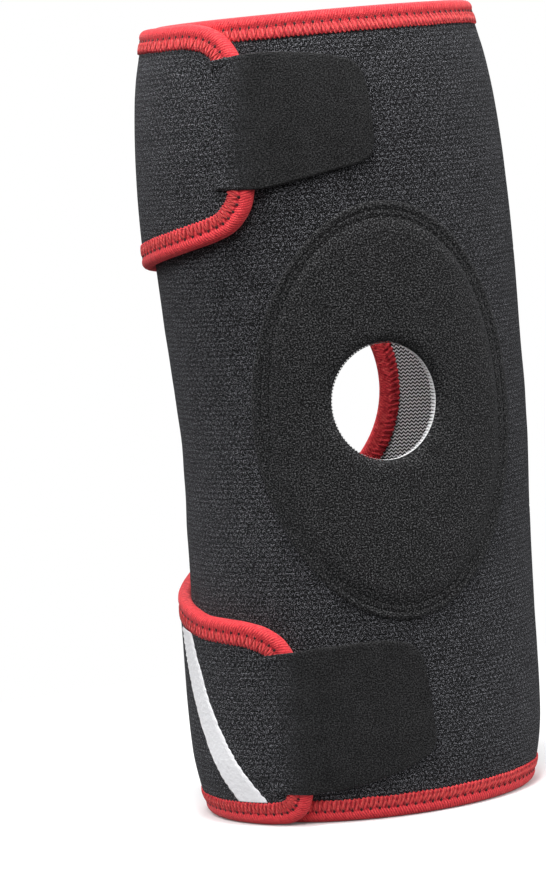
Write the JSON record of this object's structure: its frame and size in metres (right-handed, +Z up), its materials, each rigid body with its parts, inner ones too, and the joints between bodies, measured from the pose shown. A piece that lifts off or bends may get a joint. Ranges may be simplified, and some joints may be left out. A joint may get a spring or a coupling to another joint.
{
  "type": "knee brace",
  "caption": "Wrap-around knee brace of laminated foam sheet with an open kneecap hole, padded surround, an open back and hook-and-loop straps; straps and tabs swing open.",
  "frame": {"origin": "middle of the brace's footprint at its bottom rim, closed as worn", "axes": "+Z up along the leg, -Y the front of the knee, +X the side without straps' tabs (the viewer's right)"},
  "size_m": [0.1427, 0.1175, 0.3],
  "materials": {
    "loop_fabric": "brushed loop knit",
    "pad_fabric": "felted knit",
    "tab_fabric": "fine woven",
    "edge_tape": "ribbed edge tape",
    "thread": "spun thread",
    "pale_thread": "overlock thread",
    "foam": "closed-cell foam",
    "lining": "zigzag jersey",
    "hook_tape": "moulded hooks",
    "pale_print": "matt transfer"
  },
  "bodies": {
    "brace_panel": {"bottom_edge_binding": "edge_tape", "bottom_edge_thread": "thread", "free_edge_binding": "edge_tape", "free_edge_thread": "thread", "lower_root_seam": "thread", "panel_foam_core": "foam", "panel_lining": "lining", "panel_outer_fabric": "loop_fabric", "patella_hole_thread": "pale_thread", "patella_pad_cover": "pad_fabric", "patella_pad_foam": "foam", "patella_pad_thread": "thread", "popliteal_binding": "edge_tape", "popliteal_thread": "thread", "top_edge_binding": "edge_tape", "top_edge_thread": "thread", "upper_root_seam": "thread"},
    "lower_tab": {"lower_hook_tape": "hook_tape", "lower_tab_backing": "tab_fabric"},
    "lower_strap_front": {"lower_strap_front_core": "foam", "lower_strap_front_fabric": "loop_fabric", "lower_strap_front_lining": "lining", "lower_strap_front_low_binding": "edge_tape", "lower_strap_front_thread": "thread", "lower_strap_front_top_binding": "edge_tape", "lower_strap_stripe": "pale_print", "lower_tab_sewn_end": "tab_fabric", "lower_tab_thread": "thread"},
    "lower_strap_rear": {"lower_strap_rear_core": "foam", "lower_strap_rear_fabric": "loop_fabric", "lower_strap_rear_lining": "lining", "lower_strap_rear_low_binding": "edge_tape", "lower_strap_rear_thread": "thread", "lower_strap_rear_top_binding": "edge_tape"},
    "upper_tab": {"upper_hook_tape": "hook_tape", "upper_tab_backing": "tab_fabric"},
    "upper_strap_front": {"upper_strap_front_core": "foam", "upper_strap_front_fabric": "loop_fabric", "upper_strap_front_lining": "lining", "upper_strap_front_low_binding": "edge_tape", "upper_strap_front_thread": "thread", "upper_strap_front_top_binding": "edge_tape", "upper_tab_sewn_end": "tab_fabric", "upper_tab_thread": "thread"},
    "upper_strap_rear": {"upper_strap_rear_core": "foam", "upper_strap_rear_fabric": "loop_fabric", "upper_strap_rear_lining": "lining", "upper_strap_rear_low_binding": "edge_tape", "upper_strap_rear_thread": "thread", "upper_strap_rear_top_binding": "edge_tape"}
  },
  "joints": [
    {"name": "upper_strap_lift", "type": "hinge", "parent": "brace_panel", "child": "upper_strap_rear", "pos_m": [-0.02117, 0.05472, 0.25], "axis": [0, 0, -1], "range_deg": [0, 50]},
    {"name": "upper_strap_unwrap", "type": "hinge", "parent": "upper_strap_rear", "child": "upper_strap_front", "pos_m": [-0.0701, 0.00632, 0.25], "axis": [0, 0, -1], "range_deg": [0, 70]},
    {"name": "upper_tab_peel", "type": "hinge", "parent": "upper_strap_front", "child": "upper_tab", "pos_m": [-0.03186, -0.05072, 0.25], "axis": [0, 0, -1], "range_deg": [0, 80]},
    {"name": "lower_strap_lift", "type": "hinge", "parent": "brace_panel", "child": "lower_strap_rear", "pos_m": [-0.02172, 0.05303, 0.04], "axis": [0, 0, -1], "range_deg": [0, 50]},
    {"name": "lower_strap_unwrap", "type": "hinge", "parent": "lower_strap_rear", "child": "lower_strap_front", "pos_m": [-0.06941, 0.00616, 0.04], "axis": [0, 0, -1], "range_deg": [0, 70]},
    {"name": "lower_tab_peel", "type": "hinge", "parent": "lower_strap_front", "child": "lower_tab", "pos_m": [-0.03214, -0.04915, 0.04], "axis": [0, 0, -1], "range_deg": [0, 80]}
  ],
  "couplings": [
    {"joint": "upper_strap_unwrap", "follows": "upper_strap_lift", "ratio": 1.4},
    {"joint": "lower_strap_unwrap", "follows": "lower_strap_lift", "ratio": 1.4}
  ]
}
